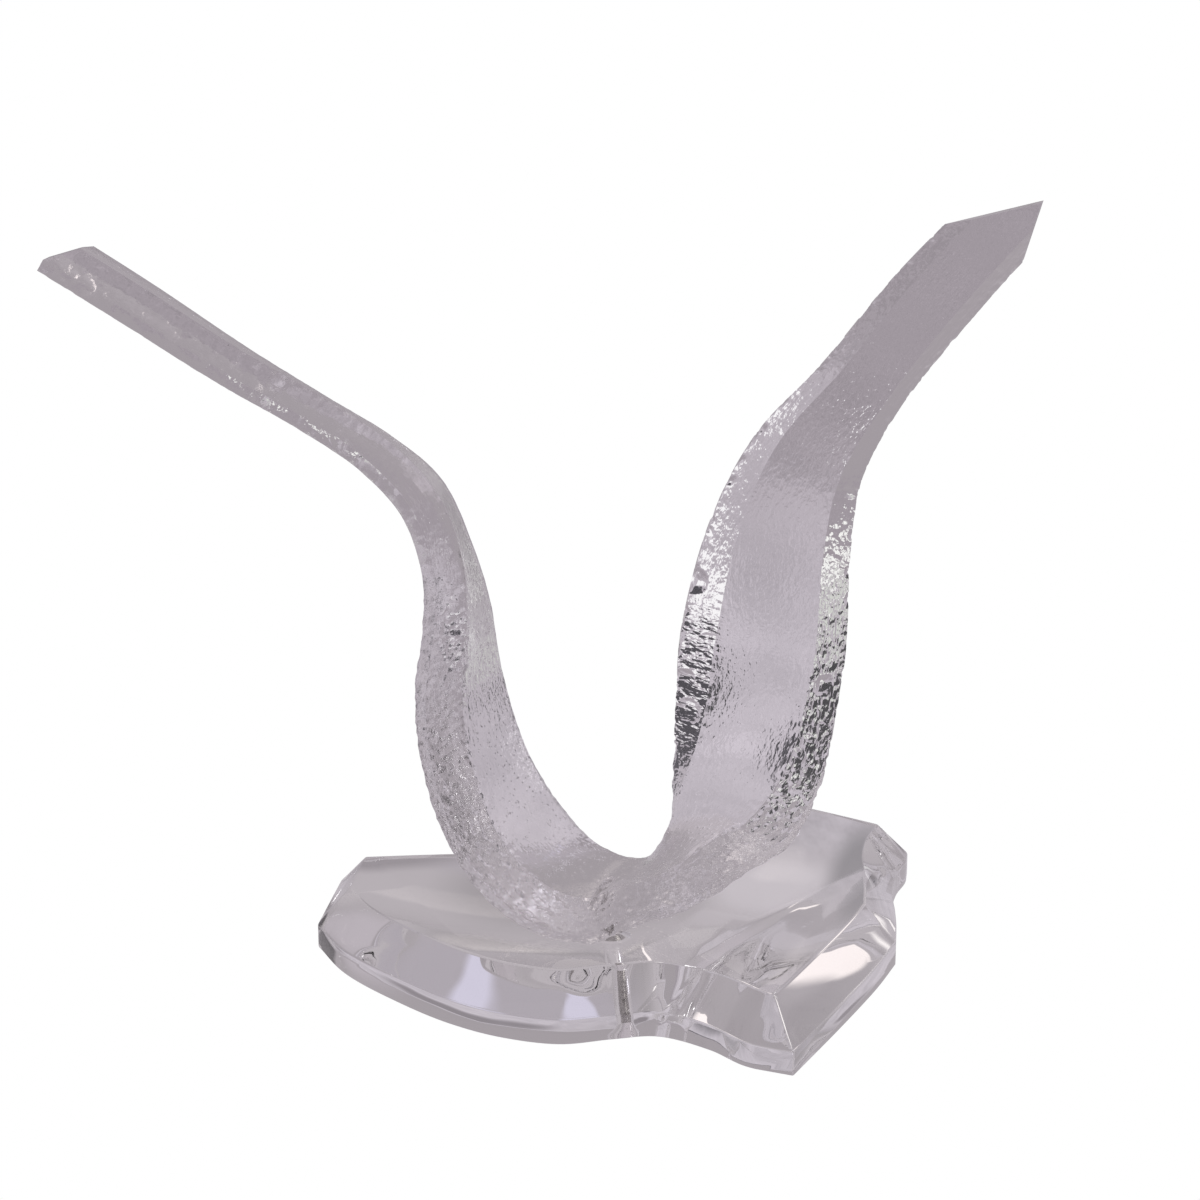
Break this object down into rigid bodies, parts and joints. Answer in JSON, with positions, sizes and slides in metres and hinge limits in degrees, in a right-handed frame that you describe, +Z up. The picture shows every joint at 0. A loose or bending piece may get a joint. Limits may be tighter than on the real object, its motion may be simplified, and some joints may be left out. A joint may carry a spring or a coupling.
{
  "type": "bird sculpture",
  "caption": "Abstract clear acrylic bird with raised wings, bent from a chipped flat bar and fixed upright on a free-form polished clear slab.",
  "frame": {"origin": "middle of the bounding box's underside, where the slab stands", "axes": "+Z up, +X along the wings to the viewer's right, -Y towards the viewer"},
  "size_m": [0.3894, 0.2356, 0.2998],
  "materials": {
    "chipped_acrylic": "clear, faces polished, edges chipped",
    "polished_acrylic": "clear, polished all over",
    "steel": "bright steel"
  },
  "bodies": {
    "root": {"bird": "chipped_acrylic", "slab": "polished_acrylic", "fixing_screw": "steel"}
  },
  "joints": []
}
